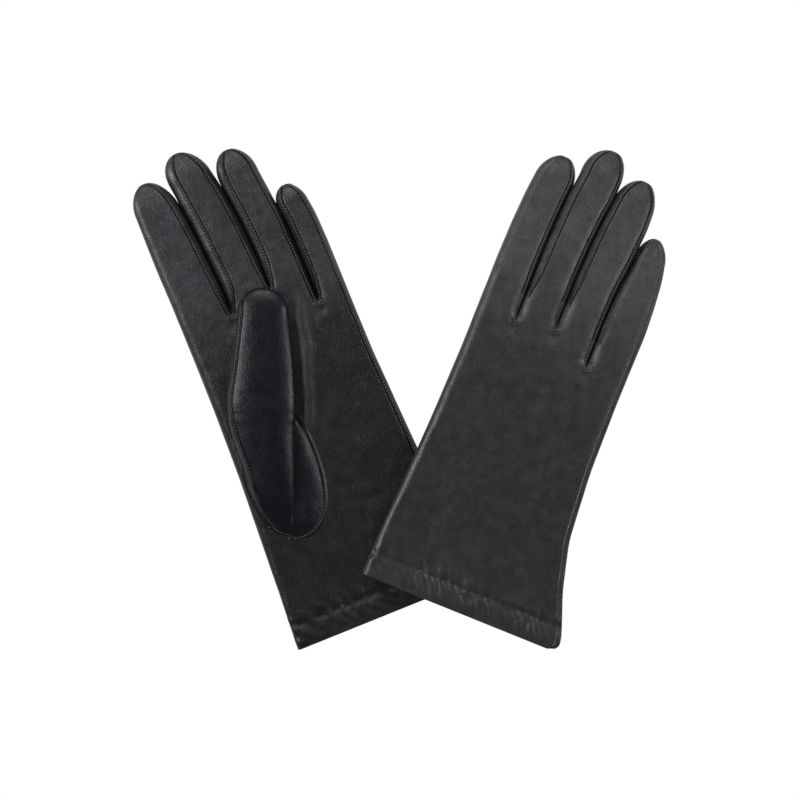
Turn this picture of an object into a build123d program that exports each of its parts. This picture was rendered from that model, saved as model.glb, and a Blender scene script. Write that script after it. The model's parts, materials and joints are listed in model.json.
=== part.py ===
from build123d import *

import os
from dataclasses import dataclass
from math import cos, pi, radians, sin, tan

# A pair of lined leather dress gloves. The left one lies palm up with its thumb folded over the
# palm. The right one lies back up, its thumb tucked beneath it and its cuff over the left cuff.
#
# Each glove is drawn in its own frame with the palm up: x runs across it towards the little
# finger, y from the cuff to the fingertips, z from the back of the hand to the palm. placed()
# turns the right one over, and moves both to where they lie.

# ---------------------------------------------------------------- driving dimensions, mm
LEATHER = 0.8  # glove leather
LINING = 0.7  # knitted lining
LAYER_GAP = 0.2  # air between two layers that lie on each other
SEAM_SLIT = 0.6  # between two sewn edges; the thread lies in it
THREAD_R = 0.18
THREAD_SUNK = 0.32  # how deep a thread lies in its slit
HEM_DEPTH = 15.0  # leather turned back inside the cuff
FINGER_GAP = 0.8  # air between neighbouring stalls
HINGE_GAP = 0.35  # each side of the fold at the root of a stall
BACKWARD_DEG = 17.0  # a stall's end is cut back this far, so that it can bend backwards
CROTCH_DROP = 15.0  # the slits between the fingers reach this much lower on the back
SIDE_STRIP = 4.4  # how far a fourchette reaches over the palm and the back of its finger
PRESSED = 0.12  # the underside is pressed flat by this much where it lies on the table
FINGERTIP_THICK = 9.2
THUMB_THICK = 10.5
THUMB_AIR = 0.3  # between the thumb and the palm it lies on
THUMB_TURN = -22.0  # degrees, from the glove's length to the thumb's
SIDE_FACETS = 6  # flat faces round each rounded side of a glove
FAR = 400.0  # longer than anything here

# Along the thumb from its fold: (distance, left edge, right edge, thickness).
THUMB_ROWS = (
    (-3.0, -18.0, 18.4, 10.5),
    (10.0, -18.6, 17.8, 10.5),
    (21.0, -16.4, 17.1, 10.4),
    (33.0, -14.9, 16.5, 10.2),
    (45.0, -13.6, 15.2, 9.8),
    (61.0, -11.9, 12.8, 9.0),
)
THUMB_TIP = 72.2

# Down the thumb's base: (share of its length, left edge, right edge, height over the palm).
BASE_ROWS = (
    (-0.04, -18.2, 18.4, 10.8),
    (0.07, -17.6, 18.5, 10.8),
    (0.23, -14.8, 18.6, 10.3),
    (0.41, -12.0, 18.7, 9.3),
    (0.59, -8.7, 18.6, 7.9),
    (0.75, -4.2, 18.4, 6.1),
    (0.89, 2.0, 17.8, 3.9),
    (1.0, 8.0, 16.6, 1.2),
)


@dataclass
class Stall:
    """One finger of a glove. strips are the sides that have a fourchette."""

    name: str
    hinge_y: float
    tip_y: float
    strips: tuple


@dataclass
class Glove:
    """One glove, palm up."""

    side: str
    hand: tuple  # (y, index-side x, little-side x, thickness, height of the back), cuff first
    lanes: tuple  # five lines of (y, x): the index side, the three finger gaps, the little side
    stalls: tuple
    crotches: tuple  # y of the three finger gaps' ends on the palm
    sink: float  # how far the fingertips hang towards the palm
    thumb_at: tuple  # where the thumb folds
    base_length: float
    turned_over: bool
    origin: tuple  # middle of the cuff, where the pair lies
    turn: float  # degrees


LEFT = Glove(
    side="left",
    hand=(
        (-2.0, -56.1, 55.2, 7.4, 0.0),
        (30.0, -54.0, 52.6, 7.8, 0.0),
        (60.0, -52.5, 50.2, 8.8, 0.0),
        (100.0, -50.4, 48.2, 10.4, 0.0),
        (140.0, -49.3, 46.4, 11.3, 0.0),
        (175.0, -49.1, 46.1, 11.5, 0.0),
        (206.0, -49.2, 46.2, 11.5, 0.0),
    ),
    lanes=(
        ((170.0, -49.1), (205.0, -49.2), (235.0, -49.9), (255.0, -49.3), (285.0, -48.6)),
        ((160.0, -18.2), (195.0, -18.4), (215.0, -20.0), (240.0, -21.8), (258.0, -24.0), (285.0, -27.4)),
        ((160.0, 6.3), (200.0, 6.1), (225.0, 5.3), (243.0, 3.7), (262.0, 1.0), (285.0, -1.4)),
        ((150.0, 28.4), (200.0, 28.7), (230.0, 27.6), (244.0, 26.8), (262.0, 24.2), (280.0, 22.6)),
        ((160.0, 46.1), (205.0, 46.2), (222.0, 45.7), (236.0, 44.8), (250.0, 43.6)),
    ),
    stalls=(
        Stall("index", 192.0, 275.3, (1,)),
        Stall("middle", 199.5, 284.4, (-1, 1)),
        Stall("ring", 198.0, 275.7, (-1, 1)),
        Stall("little", 181.0, 245.3, (-1,)),
    ),
    crotches=(189.5, 194.5, 178.4),
    sink=0.0,
    thumb_at=(-24.1, 128.5),
    base_length=63.0,
    turned_over=False,
    origin=(-5.61, -119.528),
    turn=22.0,
)

RIGHT = Glove(
    side="right",
    hand=(
        (-2.0, -59.0, 59.6, 7.4, 5.3),
        (8.0, -58.9, 58.6, 7.5, 5.2),
        (32.0, -58.3, 49.4, 7.9, 4.6),
        (60.0, -57.0, 42.0, 8.8, 2.9),
        (100.0, -55.7, 38.6, 10.4, 0.6),
        (140.0, -55.0, 37.9, 11.4, 0.0),
        (175.0, -55.2, 38.1, 11.5, 0.0),
        (194.0, -55.3, 38.0, 11.5, 0.3),
    ),
    lanes=(
        ((160.0, -55.2), (190.0, -55.4), (215.0, -55.0), (235.0, -54.0), (250.0, -52.6), (275.0, -51.6)),
        ((140.0, -32.7), (195.0, -32.6), (215.0, -32.3), (235.0, -31.5), (250.0, -30.3), (262.0, -28.6)),
        (
            (140.0, -10.0),
            (200.0, -9.8),
            (220.0, -9.2),
            (235.0, -8.1),
            (247.0, -6.2),
            (258.0, -4.4),
            (275.0, -3.8),
        ),
        (
            (130.0, 12.9),
            (180.0, 13.2),
            (198.0, 13.9),
            (210.0, 15.1),
            (222.0, 16.6),
            (236.0, 18.0),
            (260.0, 18.4),
        ),
        ((150.0, 38.0), (185.0, 38.2), (200.0, 37.4), (212.0, 36.3), (222.0, 35.0), (240.0, 32.4)),
    ),
    stalls=(
        Stall("index", 182.0, 259.2, (1,)),
        Stall("middle", 188.0, 272.0, (-1, 1)),
        Stall("ring", 187.0, 262.9, (-1, 1)),
        Stall("little", 172.0, 235.4, (-1,)),
    ),
    crotches=(179.5, 183.5, 169.5),
    sink=12.0,
    thumb_at=(-29.5, 118.0),
    base_length=52.0,
    turned_over=True,
    origin=(33.39, -118.928),
    turn=-22.0,
)

PALM_Z = 11.5 - PRESSED  # the palm's surface where the thumb lies on it
FULL_THICK = PALM_Z + THUMB_AIR + THUMB_THICK  # from the back of the hand to the thumb's outside


# ---------------------------------------------------------------- shapes
def at(rows, y, column=1):
    """The value in a column of rows at y, drawn straight between the rows."""
    for low, high in zip(rows, rows[1:]):
        if y <= high[0]:
            share = (y - low[0]) / (high[0] - low[0])
            return low[column] + share * (high[column] - low[column])
    return rows[-1][column]


def ring(station, inset):
    """A cross section drawn in by inset: flat above and below, with half-round sides."""
    y, centre_x, centre_z, half_width, half_thick = station
    round_r = half_thick - inset
    flat = half_width - half_thick
    points = []
    for side in (1, -1):
        for i in range(SIDE_FACETS + 1):
            turn = pi / 2 - pi * i / SIDE_FACETS
            x = centre_x + side * (flat + round_r * cos(turn))
            points.append(Vector(x, y, centre_z + side * round_r * sin(turn)))
    return points


def faceted(rings):
    """The solid through rings of points whose matching sides are parallel."""
    faces = [Face(Wire.make_polygon(rings[0])), Face(Wire.make_polygon(rings[-1]))]
    for low, high in zip(rings, rings[1:]):
        for i in range(len(low)):
            corners = [low[i - 1], low[i], high[i], high[i - 1]]
            faces.append(Face(Wire.make_polygon(corners)))
    return Solid(Shell(faces))


def skin(stations, inset):
    """The solid inside stations of (y, centre x, centre z, half width, half thickness)."""
    return faceted([ring(s, inset) for s in stations])


def skin_z(station, x, side):
    """The height of a station's top (side 1) or underside (side -1) at x."""
    _, centre_x, centre_z, half_width, half_thick = station
    past = max(0.0, abs(x - centre_x) - (half_width - half_thick))
    return centre_z + side * max(0.0, half_thick**2 - past**2) ** 0.5


def slab(x0, x1, y0, y1, z0, z1):
    """A box between two corners."""
    return Pos((x0 + x1) / 2, (y0 + y1) / 2, (z0 + z1) / 2) * Box(x1 - x0, y1 - y0, z1 - z0)


def side_prism(points, x0, x1):
    """A prism along x with the outline points (y, z)."""
    outline = Wire.make_polygon([Vector(x0, y, z) for y, z in points])
    return Solid.extrude(Face(outline), Vector(x1 - x0, 0, 0))


def plan_prism(points, z0, z1):
    """A prism along z with the outline points (x, y)."""
    outline = Wire.make_polygon([Vector(x, y, z0) for x, y in points])
    return Solid.extrude(Face(outline), Vector(0, 0, z1 - z0))


def thread(points):
    """A thread through points that follow each other along y."""
    rings = []
    for x, y, z in points:
        turns = [pi / 3 * k for k in range(6)]
        rings.append([Vector(x + THREAD_R * cos(a), y, z + THREAD_R * sin(a)) for a in turns])
    return faceted(rings)


def cord(points):
    """A round thread through points in any direction."""
    path = Edge.make_spline([Vector(*p) for p in points])
    start = Plane(origin=path @ 0, z_dir=path % 0)
    return sweep(start * Circle(THREAD_R), path=path)


# ---------------------------------------------------------------- the hand of a glove
def hand_station(glove, y):
    """The hand's cross section at y."""
    x0 = at(glove.hand, y, 1)
    x1 = at(glove.hand, y, 2)
    thick = at(glove.hand, y, 3)
    back = at(glove.hand, y, 4)
    return (y, (x0 + x1) / 2, back + thick / 2 - PRESSED, (x1 - x0) / 2, thick / 2)


def hand_skin(glove, inset):
    """The whole hand as one solid, without the gaps between the fingers."""
    return skin([hand_station(glove, row[0]) for row in glove.hand], inset)


def finger_gap(glove, number, inset):
    """The air between two fingers, with inset of wall around it. It reaches lower on the back."""
    lane = glove.lanes[number]
    low = glove.crotches[number - 1] - CROTCH_DROP - inset
    half = FINGER_GAP / 2 + inset
    ys = (low - 6, low + 20, low + 40, low + 60)
    left = [(at(lane, y) - half, y) for y in ys]
    right = [(at(lane, y) + half, y) for y in reversed(ys)]
    walls = plan_prism(left + right, -FAR, FAR)
    end = [(low, -4), (low + CROTCH_DROP, 16), (low + 70, 16), (low + 70, -4)]
    return walls & side_prism(end, -FAR, FAR)


def hand_core(glove, inset):
    """The hand with its finger gaps, drawn in by inset on every wall."""
    core = hand_skin(glove, inset)
    for number in (1, 2, 3):
        core -= finger_gap(glove, number, inset)
    return core


def fronts(glove):
    """What the hand leaves to the stalls: everything past each finger's fold."""
    tools = []
    for i, stall in enumerate(glove.stalls):
        x0 = -FAR if i == 0 else at(glove.lanes[i], stall.hinge_y)
        x1 = FAR if i == 3 else at(glove.lanes[i + 1], stall.hinge_y)
        tools.append(slab(x0, x1, stall.hinge_y - HINGE_GAP, FAR, -FAR, FAR))
    return tools


def seam_points(glove):
    """The side seam's course along the little-finger side of the hand: (x, y, z)."""
    end = glove.stalls[3].hinge_y - 2.0
    rows = [row[0] for row in glove.hand if 2.0 < row[0] < end]
    ys = sorted(rows + [2.0 + (end - 2.0) * k / 8 for k in range(9)])
    stations = [hand_station(glove, y) for y in ys]
    return [(s[1] + s[3], s[0], s[2]) for s in stations]


def side_slit(points, x0, x1):
    """The slit that a side seam's thread lies in, between x0 and x1."""
    low = [(y, z - SEAM_SLIT / 2) for _, y, z in points]
    high = [(y, z + SEAM_SLIT / 2) for _, y, z in reversed(points)]
    return side_prism(low + high, x0, x1)


def thumb_place(glove):
    """From the thumb's own frame to the glove's: y runs along the thumb from its fold."""
    x, y = glove.thumb_at
    return Pos(x, y, 0) * Rot(0, 0, THUMB_TURN)


def thumb_hole(glove):
    """The hole in the palm under the thumb's base."""
    rows = [(share, left + 2.2, right - 2.2) for share, left, right, _ in BASE_ROWS[1:-1]]
    left = [(x, -glove.base_length * share) for share, x, _ in rows]
    right = [(x, -glove.base_length * share) for share, _, x in reversed(rows)]
    return thumb_place(glove) * plan_prism(left + right, PALM_Z / 2, FAR)


def hand_leather(glove):
    """The leather of the hand: one piece, folded round the index side and sewn at the other."""
    leather = hand_core(glove, 0) - hand_core(glove, LEATHER)
    for tool in fronts(glove):
        leather -= tool
    leather -= slab(-FAR, FAR, -FAR, LEATHER + LAYER_GAP, -FAR, FAR)
    leather -= side_slit(seam_points(glove), at(glove.lanes[3], 180.0) + 6, FAR)
    leather -= thumb_hole(glove)
    return leather


def cuff_hem(glove):
    """The end of the leather, folded over the cuff's edge and turned back inside."""
    inset = LEATHER + LAYER_GAP
    turned = hand_skin(glove, inset) & slab(-FAR, FAR, 0, HEM_DEPTH, -FAR, FAR)
    lip = hand_skin(glove, 0) & slab(-FAR, FAR, 0, LEATHER, -FAR, FAR)
    return (turned + lip) - hand_skin(glove, inset + LEATHER)


def hand_lining(glove):
    """The knitted lining of the hand, from the hem to the folds of the fingers."""
    inset = LEATHER + LAYER_GAP
    lining = hand_core(glove, inset) - hand_core(glove, inset + LINING)
    for tool in fronts(glove):
        lining -= tool
    lining -= slab(-FAR, FAR, -FAR, HEM_DEPTH + LAYER_GAP, -FAR, FAR)
    lining -= thumb_hole(glove)
    return lining


def hem_thread(glove):
    """The row that holds the hem, on its inside, a little before the end of the turning."""
    inset = 2 * LEATHER + LAYER_GAP + THREAD_R + 0.15
    y, cx, cz, w, t = hand_station(glove, HEM_DEPTH - 1.5)
    flat = w - t
    r = t - inset
    top = Edge.make_line((cx - flat, y, cz + r), (cx + flat, y, cz + r))
    right_end = cx + flat
    left_end = cx - flat
    right = Edge.make_three_point_arc((right_end, y, cz + r), (right_end + r, y, cz), (right_end, y, cz - r))
    low = Edge.make_line((cx + flat, y, cz - r), (cx - flat, y, cz - r))
    left = Edge.make_three_point_arc((left_end, y, cz - r), (left_end - r, y, cz), (left_end, y, cz + r))
    start = Plane(origin=(cx - flat, y, cz + r), z_dir=(1, 0, 0))
    return sweep(start * Circle(THREAD_R), path=Wire([top, right, low, left]))


def base_stations(glove):
    """The thumb's base as a dome on the palm, in the thumb's frame, wide end last."""
    stations = []
    x, y = glove.thumb_at
    for share, left, right, height in reversed(BASE_ROWS):
        along = -glove.base_length * share
        palm_y = y + along * cos(radians(THUMB_TURN))
        station = hand_station(glove, palm_y)
        foot = station[2] + station[4] - 2.5
        stations.append((along, (left + right) / 2, foot, (right - left) / 2, height + 2.5))
    return stations


def thumb_base(glove):
    """The thumb's base: a leather dome over the hole in the palm, open towards both."""
    stations = base_stations(glove)
    dome = skin(stations, 0) - skin(stations, LEATHER)
    dome -= slab(-FAR, FAR, -HINGE_GAP, FAR, -FAR, FAR)
    dome -= slab(-FAR, FAR, -FAR, FAR, -FAR, PALM_Z / 2)
    return thumb_place(glove) * dome - hand_skin(glove, -LAYER_GAP)


def thumb_hole_thread(glove):
    """The thread round the foot of the thumb's base, lying on the palm."""
    left = [(x - 1.1, -glove.base_length * share) for share, x, _, _ in BASE_ROWS[1:-1]]
    right = [(x + 1.1, -glove.base_length * share) for share, _, x, _ in reversed(BASE_ROWS[1:-1])]
    bottom = [(12.5, -glove.base_length - 2.0)]
    points = []
    for x, along in left + bottom + right:
        spot = thumb_place(glove) * Pos(x, along, 0)
        station = hand_station(glove, spot.position.Y)
        z = skin_z(station, spot.position.X, 1)
        points.append((spot.position.X, spot.position.Y, z + THREAD_R + 0.12))
    return cord(points)


# ---------------------------------------------------------------- a finger stall
def stall_station(glove, i, y):
    """A stall's cross section at y, before its tip rounds off."""
    stall = glove.stalls[i]
    x0 = at(glove.lanes[i], y) + (0 if i == 0 else FINGER_GAP / 2)
    x1 = at(glove.lanes[i + 1], y) - (0 if i == 3 else FINGER_GAP / 2)
    share = max(0.0, (y - stall.hinge_y) / (stall.tip_y - stall.hinge_y))
    root = at(glove.hand, stall.hinge_y, 3)
    thick = root + share * (FINGERTIP_THICK - root)
    back = at(glove.hand, stall.hinge_y, 4) + glove.sink * share**1.3
    return (y, (x0 + x1) / 2, back + thick / 2 - PRESSED, (x1 - x0) / 2, thick / 2)


def cap_length(glove, i):
    """How long the rounded tip of a stall is."""
    return stall_station(glove, i, glove.stalls[i].tip_y - 12.0)[3]


def tip_share(glove, i, y):
    """How much of its width a stall still has at y."""
    cap = cap_length(glove, i)
    along = (y - (glove.stalls[i].tip_y - cap)) / cap
    return (1 - min(1.0, max(0.0, along)) ** 2) ** 0.5


def stall_core(glove, i, inset):
    """A stall as one solid from just before its fold to its tip, drawn in by inset."""
    stall = glove.stalls[i]
    cap = cap_length(glove, i)
    cap_y = stall.tip_y - cap
    start = stall.hinge_y - 3.0
    stations = []
    for k in range(5):
        y, cx, cz, w, t = stall_station(glove, i, start + (cap_y - start) * k / 4)
        stations.append((y, cx, cz, w - inset, t - inset))
    for angle in (28, 50, 68, 80):
        y = cap_y + (cap - inset) * sin(radians(angle))
        _, cx, cz, w, t = stall_station(glove, i, y)
        share = cos(radians(angle))
        stations.append((y, cx, cz, (w - inset) * share, (t - inset) * share))
    return skin(stations, 0)


def fold_cut(glove, i):
    """What a stall leaves to the hand: it folds at the palm and is cut back towards the back."""
    stall = glove.stalls[i]
    y = stall.hinge_y + HINGE_GAP
    deep = 30.0
    low = (y + deep * tan(radians(BACKWARD_DEG)), PALM_Z + at(glove.hand, y, 4) - deep)
    outline = [(y - 60, FAR), (y, FAR), (y, PALM_Z + at(glove.hand, y, 4)), low, (y - 60, low[1])]
    return side_prism(outline, -FAR, FAR)


def stall_layer(glove, i, outside, inside):
    """One layer of a stall, closed at its tip and open at its fold."""
    layer = stall_core(glove, i, outside) - stall_core(glove, i, inside)
    return layer - fold_cut(glove, i)


def strip_line(glove, i, side):
    """Where a fourchette is sewn to its finger, seen from above: (x, y) from root to tip."""
    stall = glove.stalls[i]
    end = stall.tip_y - 0.45 * cap_length(glove, i)
    start = stall.hinge_y - 4.0
    points = []
    for k in range(13):
        share = k / 12
        reach = 1.0 - 1.2 * max(0.0, (share - 0.5) / 0.5) ** 2.5
        y = start + share * (end - start)
        _, cx, _, w, _ = stall_station(glove, i, y)
        edge = w * tip_share(glove, i, y)
        points.append((cx + side * (edge - reach * SIDE_STRIP), y))
    return points


def strip_prism(glove, i, side, slit):
    """Everything on a fourchette's side of its seam line, with slit added towards the finger."""
    line = [(x - side * slit, y) for x, y in strip_line(glove, i, side)]
    far = [(x + side * 30.0, y) for x, y in reversed(strip_line(glove, i, side))]
    return plan_prism(line + far, -60.0, 100.0)


def fourchette(glove, i, side):
    """The strip between two fingers: it wraps the side of its stall and tapers to the tip."""
    return stall_layer(glove, i, 0, LEATHER) & strip_prism(glove, i, side, 0)


def stall_leather(glove, i):
    """A stall's own leather, without its fourchettes."""
    leather = stall_layer(glove, i, 0, LEATHER)
    for side in glove.stalls[i].strips:
        leather -= strip_prism(glove, i, side, SEAM_SLIT)
    if i == 3:
        centre = stall_station(glove, i, glove.stalls[i].hinge_y)[1]
        leather -= side_slit(little_seam(glove), centre, FAR)
    return leather


def stall_lining(glove, i):
    """The lining of a stall."""
    inset = LEATHER + LAYER_GAP
    return stall_layer(glove, i, inset, inset + LINING)


def little_seam(glove):
    """The side seam's course along the outside of the little finger: (x, y, z)."""
    stall = glove.stalls[3]
    start = stall.hinge_y + 4.0
    end = stall.tip_y - 0.6 * cap_length(glove, 3)
    points = []
    for k in range(7):
        y, cx, cz, w, _ = stall_station(glove, 3, start + (end - start) * k / 6)
        points.append((cx + w * tip_share(glove, 3, y), y, cz))
    return points


def strip_threads(glove, i, side):
    """The two threads of a fourchette: along the palm (1) and along the back (-1)."""
    stall = glove.stalls[i]
    line = [(y, x - side * SEAM_SLIT / 2) for x, y in strip_line(glove, i, side)]
    end = line[-3][0]
    cords = []
    for face in (1, -1):
        start = stall.hinge_y + (1.5 if face == 1 else 5.5)
        points = []
        for k in range(10):
            y = start + (end - start) * k / 9
            x = at(line, y)
            y, cx, cz, w, t = stall_station(glove, i, y)
            share = tip_share(glove, i, y)
            z = skin_z((y, cx, cz, w * share, t * share), x, face)
            points.append((x, y, z - face * THREAD_SUNK))
        cords.append(thread(points))
    return cords


def stall_threads(glove, i):
    """All threads of a stall."""
    cords = []
    for side in glove.stalls[i].strips:
        cords += strip_threads(glove, i, side)
    if i == 3:
        cords.append(thread(little_seam(glove)))
    return cords


# ---------------------------------------------------------------- the thumb
def thumb_station(along):
    """The thumb's cross section, in its own frame, before its tip rounds off."""
    left = at(THUMB_ROWS, along, 1)
    right = at(THUMB_ROWS, along, 2)
    thick = at(THUMB_ROWS, along, 3)
    z = PALM_Z + THUMB_AIR + thick / 2
    return (along, (left + right) / 2, z, (right - left) / 2, thick / 2)


def thumb_core(inset):
    """The thumb as one solid, drawn in by inset."""
    cap_y = THUMB_ROWS[-1][0]
    cap = THUMB_TIP - cap_y
    stations = []
    for row in THUMB_ROWS:
        y, cx, cz, w, t = thumb_station(row[0])
        stations.append((y, cx, cz, w - inset, t - inset))
    for angle in (28, 50, 68, 80):
        share = cos(radians(angle))
        _, cx, cz, w, t = thumb_station(cap_y)
        y = cap_y + (cap - inset) * sin(radians(angle))
        stations.append((y, cx, cz, (w - inset) * share, (t - inset) * share))
    return skin(stations, 0)


def thumb_layer(outside, inside):
    """One layer of the thumb, open at its fold."""
    layer = thumb_core(outside) - thumb_core(inside)
    return layer - slab(-FAR, FAR, -FAR, HINGE_GAP, -FAR, FAR)


def thumb_seam():
    """The seam along the thumb's outside: (x, y, z)."""
    stations = [thumb_station(3.0 + 57.0 * k / 8) for k in range(9)]
    return [(s[1] - s[3], s[0], s[2]) for s in stations]


def thumb_leather(glove):
    """The thumb's leather, with a slit for its seam."""
    leather = thumb_layer(0, LEATHER) - side_slit(thumb_seam(), -FAR, -6.0)
    return thumb_place(glove) * leather


def thumb_lining(glove):
    """The thumb's lining."""
    inset = LEATHER + LAYER_GAP
    return thumb_place(glove) * thumb_layer(inset, inset + LINING)


def thumb_thread(glove):
    """The thread along the thumb's outside."""
    return thumb_place(glove) * thread(thumb_seam())


# ---------------------------------------------------------------- a whole glove
def glove_pieces(glove):
    """Every piece of a glove by name, in the glove's own frame."""
    pieces = {
        "hand_leather": [hand_leather(glove)],
        "cuff_hem": [cuff_hem(glove)],
        "hand_lining": [hand_lining(glove)],
        "side_seam_thread": [thread(seam_points(glove))],
        "hem_thread": [hem_thread(glove)],
        "thumb_base": [thumb_base(glove)],
        "thumb_hole_thread": [thumb_hole_thread(glove)],
        "thumb_stall": [thumb_leather(glove)],
        "thumb_lining": [thumb_lining(glove)],
        "thumb_thread": [thumb_thread(glove)],
    }
    neighbours = {-1: {"middle": "index", "ring": "middle", "little": "ring"},
                  1: {"index": "middle", "middle": "ring", "ring": "little"}}
    for i, stall in enumerate(glove.stalls):
        pieces[stall.name + "_stall"] = [stall_leather(glove, i)]
        for side in stall.strips:
            name = f"{stall.name}_strip_by_{neighbours[side][stall.name]}"
            pieces[name] = [fourchette(glove, i, side)]
        pieces[stall.name + "_lining"] = [stall_lining(glove, i)]
        pieces[stall.name + "_thread"] = stall_threads(glove, i)
    return pieces


def placed(glove, solid):
    """A solid of a glove where the pair lies, with the lowest point of the pair at z = 0."""
    pressed = solid - slab(-FAR, FAR, -FAR, FAR, -FAR, 0)
    if glove.turned_over:
        pressed = Pos(0, 0, FULL_THICK) * mirror(pressed, about=Plane.XY)
        pressed = pressed - slab(-FAR, FAR, -FAR, FAR, -FAR, 0)
    return Pos(glove.origin[0], glove.origin[1], 0) * Rot(0, 0, glove.turn) * pressed


def main():
    os.makedirs("parts", exist_ok=True)
    for glove in (LEFT, RIGHT):
        for name, shapes in glove_pieces(glove).items():
            solids = []
            for shape in shapes:
                solids += placed(glove, shape).solids()
            path = f"parts/{glove.side}_{name}.step"
            export_step(Compound(solids), path)
            print(path, len(solids), round(sum(s.volume for s in solids), 1))


main()
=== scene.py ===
import json
import math

import bmesh
import bpy
import numpy as np
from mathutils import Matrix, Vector, noise
from mathutils.bvhtree import BVHTree


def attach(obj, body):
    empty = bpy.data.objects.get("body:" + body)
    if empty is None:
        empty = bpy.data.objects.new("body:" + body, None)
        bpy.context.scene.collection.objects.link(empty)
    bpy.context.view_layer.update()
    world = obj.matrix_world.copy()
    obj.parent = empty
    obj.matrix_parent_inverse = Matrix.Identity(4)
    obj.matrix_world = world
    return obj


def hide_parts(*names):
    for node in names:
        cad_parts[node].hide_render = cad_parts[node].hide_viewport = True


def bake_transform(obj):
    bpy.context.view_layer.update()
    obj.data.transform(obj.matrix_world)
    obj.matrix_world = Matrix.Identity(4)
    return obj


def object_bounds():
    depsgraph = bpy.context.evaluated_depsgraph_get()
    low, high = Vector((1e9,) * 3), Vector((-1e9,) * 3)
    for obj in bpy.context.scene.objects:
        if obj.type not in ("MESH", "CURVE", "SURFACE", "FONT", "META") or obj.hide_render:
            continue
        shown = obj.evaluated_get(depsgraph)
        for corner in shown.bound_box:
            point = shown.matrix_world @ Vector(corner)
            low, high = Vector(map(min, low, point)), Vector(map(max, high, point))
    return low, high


# Leather gloves built round the CAD frame. Each glove is worked on in its own frame, in
# millimetres: x across it towards the little finger, y from the cuff to the fingertips, z from
# the back of the hand to the palm. Sizes are read by slicing the CAD nodes.

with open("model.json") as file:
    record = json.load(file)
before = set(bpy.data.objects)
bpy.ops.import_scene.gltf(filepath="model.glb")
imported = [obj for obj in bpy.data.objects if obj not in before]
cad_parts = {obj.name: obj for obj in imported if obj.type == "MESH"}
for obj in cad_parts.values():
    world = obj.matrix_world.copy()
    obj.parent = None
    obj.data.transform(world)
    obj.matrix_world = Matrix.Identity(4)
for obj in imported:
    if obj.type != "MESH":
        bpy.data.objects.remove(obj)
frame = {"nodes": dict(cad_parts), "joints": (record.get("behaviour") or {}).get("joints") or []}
CAD_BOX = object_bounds()
JOINTS = {j["name"]: j for j in frame["joints"]}
FINGERS = ("index", "middle", "ring", "little")
STEP = 0.9  # mm between rows of the skin
SAMPLE = 1.6  # mm between the places where a CAD node is sliced
MERGE = 0.02  # points of a skin that are closer than this are one, mm
CROTCH_DROP = 15.0  # the finger slits run this much lower on the back, mm
HEM_MM = 13.0  # the hem's row of stitches lies this far from the cuff's edge
CORNER = 5.0  # rounding of the right cuff's corner, mm
PRESS = 0.15  # neighbouring fingers press into each other by this much, mm
THUMB_WIDE = 2.7  # the free thumb lies this much wider on its seam's side than in the CAD, mm
FOOT_LONG = 4.0  # the thumb's foot runs this much further down the palm than in the CAD, mm
TIP_LONG = 1.3  # a fingertip's rounding, in half widths of the finger
TIP_WIDTH_AT = 14.0  # a finger's width is read this far below its tip, mm
TIP_OVER = 0.25  # a fingertip's skin stands past the CAD by this much, mm
BEAD = 1.8  # from one stitch of a finger seam to the next, mm
BEAD_SWELL = 0.6  # how much the leather swells between two stitches, as a share of the seam
FOLD_BACK = 4.0  # a finger's skin starts this far below its fold, mm
FOLD_EDGE = 3.1  # width of the rounded edge of a finger that has no seam, mm
STRIP_AT_FOOT = 2.0  # a seam's distance from the finger's edge where the slit ends, mm
CUFF_GATHER = 8.5  # from one gather of the hem to the next, mm
STITCH_LONG, STITCH_RADIUS = 1.15, 0.24  # mm
STITCH_RINGS, STITCH_SIDES = 6, 6  # rings of points along a stitch, and points round a ring
THUMB_CAP = 13.5  # length of the thumb tip's rounding, mm
THUMB_STEP = 1.5  # mm between the places where the thumb is sliced
THUMB_ROUND = 120  # points round the thumb
THUMB_SEAM = 2.7  # the thumb's seam lies this far from its edge, mm
FOOT_ROUND = 5.1  # the thumb's foot is this wide 1 mm above its end, mm
GUSSET_WIDE = 16.5  # the teardrop at the thumb's root, from the crease to its far seam, mm
GUSSET_SWELL = 2.3  # how far the teardrop stands up, mm
PAINTED_LIGHT_AND_TONE_LIGHTER = 4.1  # how much lighter the leather is where its tone is 1, painted highlight included
LOOP = 150  # points round the cuff and the lining
LINE_STEP = 0.8  # mm between the points of a seam's line
SEAM_COLUMN = 10  # the seam's own column of the skin, counted from a finger's edge
# The cuff's edge and the hem turned up inside it: distance from the cuff, distance inwards, mm.
CUFF_EDGE = ((0.0, 0.0), (-0.25, 0.12), (-0.42, 0.42), (-0.38, 0.75), (-0.1, 1.0), (0.7, 1.15))
HEM_RINGS = CUFF_EDGE + ((4.0, 1.2), (9.0, 1.25), (15.0, 1.25), (15.2, 1.7))

# How far each fingertip leans towards the little finger (negative: towards the thumb), mm.
TIP_LEAN = {"left": (-0.5, -1.0, 0.8, -1.2), "right": (0.5, -1.5, -1.4, -1.2)}

# How far each finger's seams lie from its two edges, mm, None where the side is a plain fold.
SEAM_AT = {
    "left": ((None, 4.2), (6.2, 3.6), (5.1, 2.8), (4.0, 2.6)),
    "right": ((None, 2.7), (4.5, 2.0), (4.0, 2.1), (2.7, 2.6)),
}
# A pique seam's profile: distance from the seam towards the finger's middle, and height, mm.
RIDGE = ((-1.9, 0.0), (-1.5, 0.12), (-1.15, 0.5), (-0.8, 0.66), (-0.5, 0.45))
GROOVE = ((-0.22, -0.3), (0.05, -1.05), (0.35, -1.05), (0.65, -0.25), (1.0, 0.1), (1.5, 0.0))
SEAM_PROFILE = RIDGE + GROOVE


def smooth(value, low, high):
    """0 below low, 1 above high, and a smooth step between."""
    t = np.clip((np.asarray(value, float) - low) / (high - low), 0, 1)
    return t * t * (3 - 2 * t)


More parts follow.
